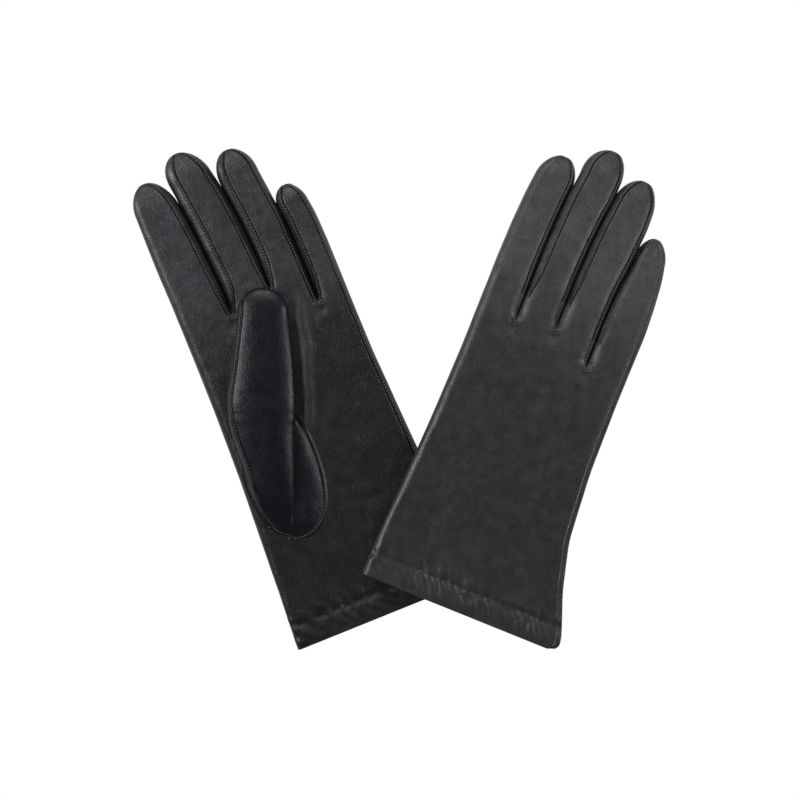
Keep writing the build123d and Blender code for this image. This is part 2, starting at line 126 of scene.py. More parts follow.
def averaged(values, reach):
    """Values with a moving average over reach neighbours on each side, ends kept."""
    padded = np.concatenate([[values[0]] * reach, values, [values[-1]] * reach])
    kernel = np.hanning(2 * reach + 3)[1:-1]
    return np.convolve(padded, kernel / kernel.sum(), mode="valid")


class Glove:
    """A glove's own frame, from its joints and its cuff."""

    def __init__(self, side):
        self.side = side
        self.over = side == "right"
        axis = np.array(JOINTS[side + "_middle_fold"]["axis"], float)
        self.ex = -axis if self.over else axis
        self.ey = np.array([-self.ex[1], self.ex[0], 0.0])
        self.top = float(CAD_BOX[1][2]) * 1000
        self.origin = np.zeros(3)
        hem = self.points(side + "_cuff_hem")
        low = hem[:, 1].min()
        edge = hem[hem[:, 1] < low + 0.3]
        middle = (edge[:, 0].min() + edge[:, 0].max()) / 2
        self.origin = self.ex * middle + self.ey * low

    def local(self, world_m):
        p = np.asarray(world_m, float) * 1000
        z = self.top - p[..., 2] if self.over else p[..., 2]
        p = p - self.origin
        return np.stack([p @ self.ex, p @ self.ey, z], -1)

    def world(self, local_mm):
        p = np.asarray(local_mm, float)
        z = self.top - p[..., 2] if self.over else p[..., 2]
        out = self.origin + p[..., :1] * self.ex + p[..., 1:2] * self.ey
        out[..., 2] = z
        return out / 1000

    def points(self, node):
        return self.local(coordinates(frame["nodes"][node].data))


class Slicer:
    """Reads how far CAD nodes reach across, and up and down, at a place along a direction."""

    def __init__(self, glove, nodes, place=lambda p: p):
        ends = []
        for node in nodes:
            mesh = frame["nodes"][node].data
            pairs = np.empty(len(mesh.edges) * 2, int)
            mesh.edges.foreach_get("vertices", pairs)
            ends.append(place(glove.points(node))[pairs.reshape(-1, 2)])
        ends = np.concatenate(ends)
        self.a, self.b = ends[:, 0], ends[:, 1]
        self.low, self.high = ends[..., 1].min(), ends[..., 1].max()

    def at(self, y):
        """(lowest x, highest x, lowest z, highest z) in the plane at y."""
        hit = (self.a[:, 1] - y) * (self.b[:, 1] - y) < 0
        a, b = self.a[hit], self.b[hit]
        share = ((y - a[:, 1]) / (b[:, 1] - a[:, 1]))[:, None]
        p = a + share * (b - a)
        return p[:, 0].min(), p[:, 0].max(), p[:, 2].min(), p[:, 2].max()

    def table(self, ys, reach):
        """Rows of at(y), smoothed over reach neighbours."""
        rows = np.array([self.at(y) for y in ys])
        return np.stack([averaged(rows[:, i], reach) for i in range(4)], -1)


def new_object(name, data):
    obj = bpy.data.objects.new(name, data)
    bpy.context.scene.collection.objects.link(obj)
    return obj


def grid_faces(rows, columns, base=0, closed=False):
    """Quads over a grid of points, closed to a tube if its last column meets the first."""
    faces = []
    for r in range(rows - 1):
        for c in range(columns if closed else columns - 1):
            a = base + r * columns + c
            b = base + r * columns + (c + 1) % columns
            faces.append((a, b, b + columns, a + columns))
    return faces


def build_mesh(glove, name, points_mm, faces, lanes=None):
    """A mesh object from points in the glove's frame. Lanes say whose finger each face is."""
    name = f"{glove.side}_{name}"
    mesh = bpy.data.meshes.new(name)
    world = glove.world(points_mm)
    if glove.over:
        faces = [tuple(reversed(f)) for f in faces]
    mesh.from_pydata([tuple(p) for p in world], [], faces)
    if lanes is not None:
        mesh.attributes.new("lane", "INT", "FACE").data.foreach_set("value", lanes)
    work = bmesh.new()
    work.from_mesh(mesh)
    bmesh.ops.remove_doubles(work, verts=work.verts, dist=MERGE / 1000)
    bmesh.ops.dissolve_degenerate(work, edges=work.edges, dist=1e-7)
    work.to_mesh(mesh)
    work.free()
    mesh.shade_smooth()
    return new_object(name, mesh)


def vertex_values(mesh, name):
    values = np.empty(len(mesh.vertices) * 3)
    mesh.vertices.foreach_get(name, values)
    return values.reshape(-1, 3)


def coordinates(mesh):
    return vertex_values(mesh, "co")


def normals(mesh):
    return vertex_values(mesh, "normal")


def move_vertices(mesh, by_m):
    mesh.vertices.foreach_set("co", (coordinates(mesh) + by_m).ravel())
    mesh.update()


def keep_rest(obj):
    """Stores where each vertex is at rest, so that a texture stays with the leather."""
    mesh = obj.data
    rest = mesh.attributes.new("rest", "FLOAT_VECTOR", "POINT")
    rest.data.foreach_set("vector", coordinates(mesh).astype(np.float32).ravel())


def keep_tone(obj, values):
    """Stores how much lighter the leather is drawn at each vertex, 0 to 1, painted shade and painted
    highlight included.
    """
    tone = obj.data.attributes.new("tone", "FLOAT", "POINT")
    tone.data.foreach_set("value", np.asarray(values, np.float32))


def value_noise(points, scale, seed, octaves=2):
    """Smooth noise from -1 to 1 at points, with features about scale mm across."""
    offset = Vector((seed * 17.3, seed * 5.1, seed * 9.7))
    places = [Vector(p) / scale + offset for p in points]
    return np.array([noise.fractal(p, 1.0, 2.0, octaves) for p in places])


# -------- measured shape of a glove
class Shape:
    """The outline and thickness of one glove, from its CAD nodes, as functions of y."""

    def __init__(self, glove):
        self.glove = glove
        side = glove.side
        self.folds = []
        for finger in FINGERS:
            self.folds.append(float(glove.local(JOINTS[f"{side}_{finger}_fold"]["pos_m"])[1]))
        hand = Slicer(glove, [side + "_hand_leather"])
        self.hand_y = np.arange(SAMPLE, min(self.folds) - 1.5, SAMPLE)
        self.hand = hand.table(self.hand_y, 5)
        self.fingers = []
        for i, finger in enumerate(FINGERS):
            nodes = [n for n in frame["nodes"] if n.startswith(f"{side}_{finger}_s")]
            cut = Slicer(glove, nodes)
            left, right, _, _ = cut.at(cut.high - TIP_WIDTH_AT)
            half = (right - left) / 2
            ys = np.arange(self.folds[i] + 5.5, cut.high - half + 0.4, SAMPLE)
            cap_y = cut.high - TIP_LONG * half
            self.fingers.append((ys, cut.table(ys, 3), cap_y, cut.high + TIP_OVER))
        self.crotch = []
        for i in (0, 1, 2):
            low, high = sorted((self.folds[i], self.folds[i + 1]))
            self.crotch.append(min(low - 2.5, high - 5.0))

    def hand_at(self, y):
        x0, x1, z0, z1 = [np.interp(y, self.hand_y, self.hand[:, k]) for k in range(4)]
        if self.glove.over:  # its cuff's corner on the little finger's side has softened
            up = np.clip(1 - np.asarray(y) / CORNER, 0, 1)
            x1 = x1 - CORNER * (1 - np.sqrt(1 - up**2))
        return [x0, x1, z0, z1]

    def finger_at(self, i, y):
        ys, rows, _, _ = self.fingers[i]
        out = []
        for k in range(4):
            values = np.interp(y, ys, rows[:, k])
            slope = (rows[-1, k] - rows[-6, k]) / (ys[-1] - ys[-6])
            out.append(values + np.maximum(0, np.asarray(y) - ys[-1]) * slope)
        return out

    def between(self, gap, y):
        """x half way between two fingers."""
        return (self.finger_at(gap, y)[1] + self.finger_at(gap + 1, y)[0]) / 2

    def boundary(self, gap, y):
        """x of the line between two fingers, continued down the hand."""
        y_ref = max(self.folds[gap], self.folds[gap + 1]) + 7.0
        x0, x1, _, _ = self.hand_at(self.crotch[gap])
        share = (self.between(gap, y_ref) - x0) / (x1 - x0)
        x0, x1, _, _ = self.hand_at(y)
        return x0 + share * (x1 - x0)

    def shared_edge(self, gap, y, own):
        """The line two fingers share while they touch, then a finger's own edge."""
        between = self.between(gap, y)
        between = between + PRESS * np.sign(between - own)
        shorter = min(self.fingers[gap][2], self.fingers[gap + 1][2])
        return between + smooth(y, shorter - 6, shorter + 10) * (own - between)

    def lane(self, i, y):
        """(left x, right x, middle z, half thickness) of a finger's lane at y."""
        hx0, hx1, hz0, hz1 = self.hand_at(y)
        fx0, fx1, fz0, fz1 = self.finger_at(i, y)
        left_foot = self.crotch[max(i - 1, 0)]
        right_foot = self.crotch[min(i, 2)]
        start = max(left_foot, right_foot) + 1.5
        in_finger = smooth(y, start, start + 11)
        left = hx0 if i == 0 else self.boundary(i - 1, y)
        right = hx1 if i == 3 else self.boundary(i, y)
        left_share = smooth(y, left_foot - 1, left_foot + 9)
        right_share = smooth(y, right_foot - 1, right_foot + 9)
        if i > 0:
            fx0 = self.shared_edge(i - 1, y, fx0)
        if i < 3:
            fx1 = self.shared_edge(i, y, fx1)
        x0 = left + left_share * (fx0 - left)
        x1 = right + right_share * (fx1 - right)
        low = hz0 + in_finger * (fz0 - hz0)
        high = hz1 + in_finger * (fz1 - hz1)
        _, _, cap_y, tip_y = self.fingers[i]
        lean = TIP_LEAN[self.glove.side][i] * smooth(y, cap_y - 12, tip_y)
        return x0 + lean, x1 + lean, (low + high) / 2, (high - low) / 2


def rounding(d, radius, power=2.2):
    """The share of its height that a surface has at a distance d from its rounded edge."""
    t = np.clip(d / radius, 0, 1)
    return (1 - (1 - t) ** power) ** (1 / power)


def lane_columns(shape, i, y, shrink):
    """x of a lane's columns at y, from its left edge, and how high the seams lift or sink them."""
    x0, x1, _, _ = shape.lane(i, y)
    centre, wide = (x0 + x1) / 2, (x1 - x0) / 2 * shrink
    profile = np.array(SEAM_PROFILE)
    anchors, lifts = [], []
    for side, seam in enumerate(SEAM_AT[shape.glove.side][i]):
        outer = (i, side) in ((0, 0), (3, 1))
        if seam is None:
            at_edge, heights = FOLD_EDGE, 0.0 * profile[:, 1]
        elif outer:
            at_edge, heights = seam, profile[:, 1] * 0.8 * smooth(y, 1.0, 4.0)
        else:
            foot = shape.crotch[i - 1 + side]
            spread = max(seam, STRIP_AT_FOOT + 0.1) - STRIP_AT_FOOT
            at_edge = STRIP_AT_FOOT + spread * smooth(y, foot - 3, foot + 16)
            heights = profile[:, 1] * smooth(y, foot - 2.5, foot + 0.5)
            bead = 1 + BEAD_SWELL * math.sin(2 * math.pi * y / BEAD)
            heights = heights * np.where(heights > 0, bead, 1)
        reach = profile[:, 0] + at_edge * (0.35 + 0.65 * shrink)
        fit = min(1.0, 0.82 * wide / reach[-1])
        anchors.append(reach * fit)
        lifts.append(heights * smooth(shrink, 0.12, 0.5) * min(1.0, fit * 1.2))
    left = centre - wide + anchors[0]
    right = (centre + wide - anchors[1])[::-1]
    edge = 0.5 - 0.5 * np.cos(np.linspace(0, math.pi / 2, 6)[:-1])
    edge = edge / edge.max() * 0.8
    first = centre - wide + edge * anchors[0][0]
    last = (centre + wide - edge * anchors[1][0])[::-1]
    middle = np.linspace(left[-1], right[0], 17)[1:-1]
    x = np.concatenate([first, left, middle, right, last])
    lift = np.concatenate([0 * first, lifts[0], 0 * middle, lifts[1][::-1], 0 * last])
    return x, lift


def section(shape, i, y, face, shrink=1.0):
    """Points of a lane's palm (face 1) or back (face -1) at y."""
    x0, x1, middle, half = shape.lane(i, y)
    centre, wide = (x0 + x1) / 2, (x1 - x0) / 2 * shrink
    half = half * shrink
    x, lift = lane_columns(shape, i, y, shrink)
    heights = np.ones_like(x)
    drop = 0.0 if face > 0 else CROTCH_DROP
    for edge, d in ((0, x - (centre - wide)), (1, centre + wide - x)):
        outer = (i, edge) in ((0, 0), (3, 1))
        foot = shape.crotch[min(max(i - 1 + edge, 0), 2)] - drop
        depth = 1.0 if outer else smooth(y, foot - 3.5, foot + 4)
        radius = min(half * (1.05 if outer else 1.3), wide)
        heights = heights * (1 - depth * (1 - rounding(d, radius)))
    seam_face = 1 if i < 3 else face
    z = middle + face * (half * heights + lift * seam_face)
    return np.stack([x, np.full_like(x, y), z], -1)


def row_places(shape):
    """y of the skin's rows: closer together where the finger slits end."""
    ys, y = [], 0.0
    ends = [c - drop for c in shape.crotch for drop in (0.0, CROTCH_DROP)]
    while y < 300:
        ys.append(y)
        y += BEAD / 4 if min(abs(y - e) for e in ends) < 6 or y > min(ends) else STEP
    return ys


def tip_stations(cap_y, tip_y, count):
    """(y, share of the full width) at the rows that round off a tip."""
    turns = np.radians(np.linspace(0, 87, count))
    return [(cap_y + (tip_y - cap_y) * math.sin(a), math.cos(a)) for a in turns]


def glove_skin(shape):
    """The whole outside of a glove but its thumb: a grid on each face of each lane."""
    points, faces, lanes = [], [], []
    rows_all = row_places(shape)
    for i in range(4):
        _, _, cap_y, tip_y = shape.fingers[i]
        stations = [(y, 1.0) for y in rows_all if y < cap_y - 0.4]
        stations += tip_stations(cap_y, tip_y, 30)
        for face in (1, -1):
            base = len(points)
            for y, shrink in stations:
                points.extend(section(shape, i, y, face, shrink))
            n = (len(points) - base) // len(stations)
            new = grid_faces(len(stations), n, base)
            last, tip = base + (len(stations) - 1) * n, len(points)
            new += [(last + c, last + c + 1, tip) for c in range(n - 1)]
            faces.extend(new if face > 0 else [f[::-1] for f in new])
            x = np.mean(points[last:], axis=0)[0]
            points.append((x, tip_y + 0.02, shape.lane(i, tip_y)[2]))
        lanes.extend([i] * (len(faces) - len(lanes)))
    return build_mesh(shape.glove, "skin", points, faces, lanes)


def soft_folds(local, seed):
    """Broad waves of the lying leather, fine creases, and folds across the wrist, mm."""
    y = local[:, 1]
    broad = value_noise(local * (1.0, 0.55, 0.6), 27.0, seed, 2)
    fine = value_noise(local * (1.0, 0.8, 0.5), 7.5, seed + 5, 3)
    creases = 1 - np.abs(value_noise(local * (1.0, 0.7, 0.4), 13.0, seed + 7, 3)) * 2
    wrist = np.exp(-(((y - 74) / 16) ** 2))
    waves = value_noise(local * (0.35, 1.0, 0.5), 11.0, seed + 9, 2)
    return 0.55 * broad + 0.13 * fine + 0.12 * creases + wrist * 0.4 * waves


def hem_gathers(local, seed):
    """The groove along the hem's row of stitches, and the uneven gathers on both sides, mm."""
    x, y, _ = local.T
    lean = x + 0.55 * y + 5.0 * value_noise(local * (1, 1, 0), 22.0, seed + 2, 1)
    turn = lean * 2 * np.pi / CUFF_GATHER
    strength = 0.75 + 0.7 * value_noise(local * (1, 0.3, 0.3) + 40, 16.0, seed + 4, 1)
    at_row = np.exp(-(((y - HEM_MM) / 2.2) ** 2))
    below = np.exp(-(((y - HEM_MM * 0.55) / 3.6) ** 2))
    above = np.exp(-(((y - HEM_MM - 5) / 3.2) ** 2))
    crumple = value_noise(local * (1, 0.7, 0.4) + 90, 4.2, seed + 8, 2)
    out = -at_row * (0.62 + 0.55 * np.sin(turn) * strength)
    out += (below + 0.7 * above) * 0.45 * strength * np.sin(turn + 1.9)
    return out + 0.24 * crumple * np.exp(-(((y - HEM_MM + 2) / 7.0) ** 2))


def slit_dimples(local, shape):
    """The dimple and the small stitched ring where each finger slit ends, mm."""
    x, y, z = local.T
    _, _, low, high = shape.hand_at(y)
    palm = z > low + 0.5 * (high - low)
    out = np.zeros(len(x))
    for gap in range(3):
        cx = float(shape.boundary(gap, shape.crotch[gap]))
        for drop, on_face in ((0, palm), (CROTCH_DROP, ~palm)):
            cy = shape.crotch[gap] - drop - 6.5
            near = np.exp(-((((x - cx) / 2.4) ** 2) + ((y - cy) / 2.6) ** 2))
            rim = np.exp(-((((x - cx) / 5.0) ** 2) + ((y - cy + 4.5) / 3.4) ** 2))
            out += on_face * (-0.5 * near + 0.5 * rim)
            foot = cy + 5.5
            from_ring = np.hypot(x - cx, y - foot) - 1.75
            around = on_face * (y < foot)
            out += around * (-0.75 * np.exp(-((from_ring / 0.45) ** 2)))
            out += around * (0.4 * np.exp(-(((from_ring - 0.9) / 0.5) ** 2)))
    return out


def pucker(local, shape):
    """How far the leather stands in or out, mm."""
    seed = 3 if shape.glove.over else 1
    out = soft_folds(local, seed) + hem_gathers(local, seed) + slit_dimples(local, shape)
    return out * smooth(local[:, 1], 0.3, 3.0)


def thumb_bed(shape, local):
    """How far the palm stands up in a soft ridge beside the folded thumb, mm."""
    thumb = Thumb(shape)
    rows, cap_y, tip_y = thumb.table()
    own = thumb.into(local)
    along = own[:, 1]
    away = own[:, 0] - np.interp(along, rows[:, 0], rows[:, 2])
    span = smooth(along, -22, 0) * (1 - smooth(along, cap_y - 2, tip_y))
    _, y, z = local.T
    _, _, low, high = shape.hand_at(y)
    palm = z > (low + high) / 2
    wander = 1.5 * value_noise(own * (0.4, 1, 0.4), 18.0, 31, 2)
    return palm * span * np.exp(-(((away - 7.5 - wander) / 3.4) ** 2))


def displaced(obj, amount_mm):
    """Moves vertices out along their normals, less where the leather stands upright."""
    n = normals(obj.data)
    amount_mm = amount_mm * (0.1 + 0.9 * smooth(np.abs(n[:, 2]), 0.1, 0.7))
    move_vertices(obj.data, n * (amount_mm / 1000)[:, None])


def split_piece(source, name, keep_faces, all_normals):
    """A copy of some faces of source, shaded as if it were still joined to the rest."""
    work = bmesh.new()
    work.from_mesh(source.data)
    work.faces.ensure_lookup_table()
    work.verts.ensure_lookup_table()
    index = work.verts.layers.int.new("from")
    for v in work.verts:
        v[index] = v.index
    gone = [f for f, keep in zip(work.faces, keep_faces) if not keep]
    bmesh.ops.delete(work, geom=gone, context="FACES")
    mesh = bpy.data.meshes.new(name)
    origin = [v[index] for v in work.verts]
    work.verts.layers.int.remove(index)
    work.to_mesh(mesh)
    work.free()
    mesh.shade_smooth()
    mesh.normals_split_custom_set_from_vertices([tuple(all_normals[k]) for k in origin])
    return new_object(name, mesh)


# -------- materials
def node(tree, kind, **inputs):
    made = tree.nodes.new(kind)
    for key, value in inputs.items():
        if key.startswith("_"):
            setattr(made, key[1:], value)
        else:
            made.inputs[key.replace("_", " ")].default_value = value
    return made


def ramp(tree, source, low, high, out_low, out_high):
    made = node(tree, "ShaderNodeMapRange", From_Min=low, From_Max=high, To_Min=out_low, To_Max=out_high)
    tree.links.new(source, made.inputs["Value"])
    return made.outputs["Result"]


def combine(tree, operation, *sources):
    """A maths node on the sources, each an output of another node or a number."""
    made = node(tree, "ShaderNodeMath", _operation=operation)
    for slot_in, source in zip(made.inputs, sources):
        if isinstance(source, float):
            slot_in.default_value = source
        else:
            tree.links.new(source, slot_in)
    return made.outputs[0]


def mixed(tree, factor, low, high, blend="MIX"):
    """A colour between low and high, each an output of another node or three numbers."""
    made = node(tree, "ShaderNodeMix", _data_type="RGBA", _blend_type=blend)
    for name, source in (("Factor", factor), ("A", low), ("B", high)):
        if isinstance(source, tuple):
            made.inputs[name].default_value = (*source, 1)
        elif isinstance(source, float):
            made.inputs[name].default_value = source
        else:
            tree.links.new(source, made.inputs[name])
    return made.outputs["Result"]


def blank_material(name):
    """A new material's node tree, its shader and the place at rest that its textures use."""
    material = bpy.data.materials.new(name)
    material.use_nodes = True
    tree = material.node_tree
    place = node(tree, "ShaderNodeAttribute", _attribute_name="rest").outputs["Vector"]
    return material, tree, tree.nodes["Principled BSDF"], place


def emboss(tree, shader, height, strength, distance):
    bump = node(tree, "ShaderNodeBump", Strength=strength, Distance=distance)
    tree.links.new(height, bump.inputs["Height"])
    tree.links.new(bump.outputs["Normal"], shader.inputs["Normal"])


def leather(name, colour, warm, rough, grain, specular=0.46):
    """Smooth lambskin: fine pores and wrinkles, painted shade in the wrinkles, cloudy tone and uneven
    gloss.
    """
    material, tree, shader, place = blank_material(name)
    link = tree.links.new
    cloud = node(tree, "ShaderNodeTexNoise", Scale=34.0, Detail=5.0, Roughness=0.62)
    patch = node(tree, "ShaderNodeTexNoise", Scale=150.0, Detail=4.0, Roughness=0.6)
    pores = node(tree, "ShaderNodeTexVoronoi", Scale=1500.0)
    creases = node(tree, "ShaderNodeTexVoronoi", _feature="DISTANCE_TO_EDGE", Scale=620.0)
    fuzz = node(tree, "ShaderNodeTexNoise", Scale=2600.0, Detail=3.0)
    drift = node(tree, "ShaderNodeTexNoise", Scale=420.0, Detail=2.0)
    for texture in (cloud, patch, pores, fuzz, drift):
        link(place, texture.inputs["Vector"])
    bent = node(tree, "ShaderNodeVectorMath", _operation="MULTIPLY_ADD")
    link(drift.outputs["Color"], bent.inputs[0])
    bent.inputs[1].default_value = (0.0012, 0.0012, 0.0012)
    link(place, bent.inputs[2])
    link(bent.outputs[0], creases.inputs["Vector"])

    cloudy = mixed(tree, ramp(tree, cloud.outputs["Fac"], 0.33, 0.68, 0.0, 1.0), colour, warm)
    # painted shade: the colour is darker down in the grain's creases, where the bump dents it
    crease_shade = ramp(tree, creases.outputs["Distance"], 0.0, 0.12, 0.72, 1.0)
    mottle = ramp(tree, patch.outputs["Fac"], 0.3, 0.7, 0.8, 1.2)
    # The tone: lighter towards the fingers, with painted shade in the finger gaps and a painted highlight
    # beside the thumb.
    lighter_share = node(tree, "ShaderNodeAttribute", _attribute_name="tone").outputs["Fac"]
    lighter = ramp(tree, lighter_share, 0.0, 1.0, 1.0, PAINTED_LIGHT_AND_TONE_LIGHTER)
    shade = combine(tree, "MULTIPLY", combine(tree, "MULTIPLY", crease_shade, mottle), lighter)
    link(mixed(tree, 1.0, cloudy, shade, "MULTIPLY"), shader.inputs["Base Color"])

    gloss = ramp(tree, cloud.outputs["Fac"], 0.3, 0.7, rough + 0.07, rough - 0.06)
    uneven = ramp(tree, patch.outputs["Fac"], 0.3, 0.7, -0.05, 0.05)
    link(combine(tree, "ADD", gloss, uneven), shader.inputs["Roughness"])
    wrinkle = ramp(tree, creases.outputs["Distance"], 0.0, 0.1, 0.0, 1.0)
    pore = ramp(tree, pores.outputs["Distance"], 0.0, 0.7, 0.0, 0.6)
    height = combine(tree, "MULTIPLY_ADD", wrinkle, 0.7, pore)
    height = combine(tree, "MULTIPLY_ADD", fuzz.outputs["Fac"], 0.35, height)
    emboss(tree, shader, height, 0.62 * grain, 0.00013)
    shader.inputs["Specular IOR Level"].default_value = specular
    shader.inputs["Coat Weight"].default_value = 0.06
    shader.inputs["Coat Roughness"].default_value = 0.3
    return material


def knitted(name, colour):
    """Fine black knit: rows of small loops, painted darker between them as shade and lighter on their
    tops as highlight.
    """
    material, tree, shader, place = blank_material(name)
    loops = node(tree, "ShaderNodeTexWave", Scale=330.0, Distortion=3.0, Detail=2.0, _bands_direction="X")
    rows = node(tree, "ShaderNodeTexWave", Scale=260.0, Distortion=2.0, Detail=2.0, _bands_direction="Y")
    for texture in (loops, rows):
        tree.links.new(place, texture.inputs["Vector"])
    weave = combine(tree, "MULTIPLY", loops.outputs["Fac"], rows.outputs["Fac"])
    # painted shade between the loops and painted highlight on their tops
    tone = mixed(tree, weave, tuple(c * 0.55 for c in colour), tuple(c * 1.5 for c in colour))
    tree.links.new(tone, shader.inputs["Base Color"])
    emboss(tree, shader, weave, 0.7, 0.0003)
    shader.inputs["Roughness"].default_value = 0.9
    shader.inputs["Sheen Weight"].default_value = 0.4
    return material


def spun(name, colour):
    """Waxed sewing thread, with a twist, darker in the twist's grooves as painted shade."""
    material, tree, shader, place = blank_material(name)
    twist = node(tree, "ShaderNodeTexWave", Scale=900.0, Distortion=1.5, _bands_direction="DIAGONAL")
    tree.links.new(place, twist.inputs["Vector"])
    # painted shade: half as bright where the twist's bump dips
    tone = mixed(tree, twist.outputs["Fac"], tuple(c * 0.5 for c in colour), colour)
    tree.links.new(tone, shader.inputs["Base Color"])
    emboss(tree, shader, twist.outputs["Fac"], 0.5, 0.00005)
    shader.inputs["Roughness"].default_value = 0.42
    return material


MATERIALS = {
    "left": leather("left_lambskin", (0.0034, 0.0032, 0.0038), (0.0086, 0.0082, 0.0096), 0.36, 0.75),
    "right": leather("right_lambskin", (0.0185, 0.017, 0.0172), (0.028, 0.0258, 0.0258), 0.38, 0.7),
    "thumb": leather("thumb_lambskin", (0.002, 0.0023, 0.0045), (0.0045, 0.0052, 0.009), 0.33, 0.6, 0.34),
    "lining": knitted("black_knit", (0.03, 0.03, 0.032)),
    # The black thread is given a grey colour: a painted highlight on the stitches.
    "thread": spun("black_thread_painted_highlight", (0.12, 0.12, 0.125)),
}


def dress(obj, material):
    obj.data.materials.clear()
    obj.data.materials.append(MATERIALS[material])


# -------- seams
def surface_tree(obj):
    """A search tree over a skin, to lay seams on."""
    points = [v.co.copy() for v in obj.data.vertices]
    faces = [tuple(p.vertices) for p in obj.data.polygons]
    return BVHTree.FromPolygons(points, faces)


def on_surface(glove, tree, xy, face):
    """Points and normals where the lines xy meet the palm (1) or back (-1) of the glove."""
    places, ups = [], []
    for x, y in xy:
        start = Vector(glove.world((x, y, 60.0 * face)))
        aim = Vector((0, 0, -face * (-1 if glove.over else 1)))
        hit, normal, _, _ = tree.ray_cast(start, aim, 0.2)
        if hit is None:
            continue
        places.append(np.array(hit) * 1000)
        ups.append(np.array(normal))
    return np.array(places), np.array(ups)


def resampled(points, step):
    gaps = np.linalg.norm(np.diff(points, axis=0), axis=1)
    along = np.concatenate([[0], np.cumsum(gaps)])
    count = max(2, int(along[-1] / step))
    where = np.linspace(0, along[-1], count)
    return np.stack([np.interp(where, along, points[:, k]) for k in range(points.shape[1])], -1)


def stitches(points, ups, side, points_out, faces_out, offset=0.45, lift=0.1):
    """Short threads laid end to end beside a seam's edge, each a small bowed capsule. Units mm."""
    spots = resampled(np.concatenate([points, ups], 1), BEAD)
    tangents = np.gradient(spots[:, :3], axis=0)
    for spot, t in zip(spots[1:-1], tangents[1:-1]):
        p, up = spot[:3], spot[3:] / max(1e-9, np.linalg.norm(spot[3:]))
        t = t / max(1e-9, np.linalg.norm(t))
        across = np.cross(up, t) * side
        base = len(points_out)
        for k in range(STITCH_RINGS):
            share = k / (STITCH_RINGS - 1)
            along = (share - 0.5) * STITCH_LONG
            radius = STITCH_RADIUS * (0.35 + 0.65 * math.sin(math.pi * (0.08 + 0.84 * share)))
            rise = lift + 0.12 * math.sin(math.pi * share)
            centre = p + t * along + across * offset + up * rise
            for m in range(STITCH_SIDES):
                a = 2 * math.pi * m / STITCH_SIDES
                points_out.append(centre + across * radius * math.cos(a) + up * radius * math.sin(a))
        faces_out.extend(grid_faces(STITCH_RINGS, STITCH_SIDES, base, closed=True))
        last = base + (STITCH_RINGS - 1) * STITCH_SIDES
        faces_out.append(tuple(base + m for m in reversed(range(STITCH_SIDES))))
        faces_out.append(tuple(last + m for m in range(STITCH_SIDES)))


def world_mesh(name, points_mm, faces):
    """A mesh object from world points in millimetres."""
    mesh = bpy.data.meshes.new(name)
    mesh.from_pydata([tuple(p / 1000) for p in points_mm], [], faces)
    mesh.update()
    work = bmesh.new()
    work.from_mesh(mesh)
    bmesh.ops.recalc_face_normals(work, faces=work.faces)
    work.to_mesh(mesh)
    work.free()
    mesh.shade_smooth()
    obj = new_object(name, mesh)
    keep_rest(obj)
    return obj


def smoothed_line(places, ups, reach=4):
    places = np.stack([averaged(places[:, k], reach) for k in range(3)], -1)
    ups = np.stack([averaged(ups[:, k], reach * 2) for k in range(3)], -1)
    return places, ups / np.linalg.norm(ups, axis=1)[:, None]


# -------- the thumb
class Thumb:
    """The thumb's own frame: y along it from its fold, x across, z as the glove's."""

    def __init__(self, shape):
        self.shape = shape
        glove = shape.glove
        self.glove = glove
        joint = JOINTS[glove.side + "_thumb_fold"]
        axis = np.array(joint["axis"], float) * (-1 if glove.over else 1)
        spot = glove.local(joint["pos_m"])
        ex = np.array([axis @ glove.ex, axis @ glove.ey])
        self.ex, self.ey, self.spot = ex, np.array([-ex[1], ex[0]]), spot[:2]
        self.stall = Slicer(glove, [glove.side + "_thumb_stall"], self.into)
        self.base = Slicer(glove, [glove.side + "_thumb_base"], self.into)

    def into(self, p):
        flat = p[..., :2] - self.spot
        return np.stack([flat @ self.ex, flat @ self.ey, p[..., 2]], -1)

    def out(self, p):
        p = np.asarray(p, float)
        flat = self.spot + p[..., :1] * self.ex + p[..., 1:2] * self.ey
        return np.concatenate([flat, p[..., 2:3]], -1)

    def flat(self, line):
        """Points (across, along) of the thumb as points (x, y) of the glove."""
        line = np.array(line)
        return self.out(np.concatenate([line, np.zeros((len(line), 1))], 1))[:, :2]

    def table(self):
        """Rows of (along, left, right, low z, high z) from the foot of the base to the tip."""
        tip = self.stall.high
        rows = []
        foot = self.base.low - FOOT_LONG
        root = self.base.at(-1.5)
        for t in np.arange(foot, -1.0, THUMB_STEP):
            high = t - foot
            x0, _, _, z1 = self.base.at(max(t, self.base.low + 6))
            x1 = root[1] - 0.4
            x0 = min(x0, x1 - FOOT_ROUND * math.sqrt(high)) if high < 30 else x0
            x0 = max(x0, root[0] - 0.3, x1 - (FOOT_ROUND + 0.2) * math.sqrt(high) - 0.6)
            spot = self.out(((x0 + x1) / 2, t, 0.0))
            palm = float(self.shape.hand_at(spot[1])[3])
            top = palm + (z1 - palm) * math.sin(math.pi / 2 * min(1.0, (high + 0.5) / 22)) ** 0.8
            rows.append((t, x0, x1, palm - 1.4, top))
        for t in np.arange(THUMB_STEP, tip - THUMB_CAP, THUMB_STEP):
            rows.append((t, *self.stall.at(t)))
        rows = np.array(rows)
        rows[:, 1] -= THUMB_WIDE * smooth(rows[:, 0], -38, -6)
        for k in range(1, 5):
            keep = rows[:4, k].copy()
            rows[:, k] = averaged(rows[:, k], 9 if k < 3 else 3)
            rows[:4, k] = keep
        return rows, tip - THUMB_CAP, tip + 0.2


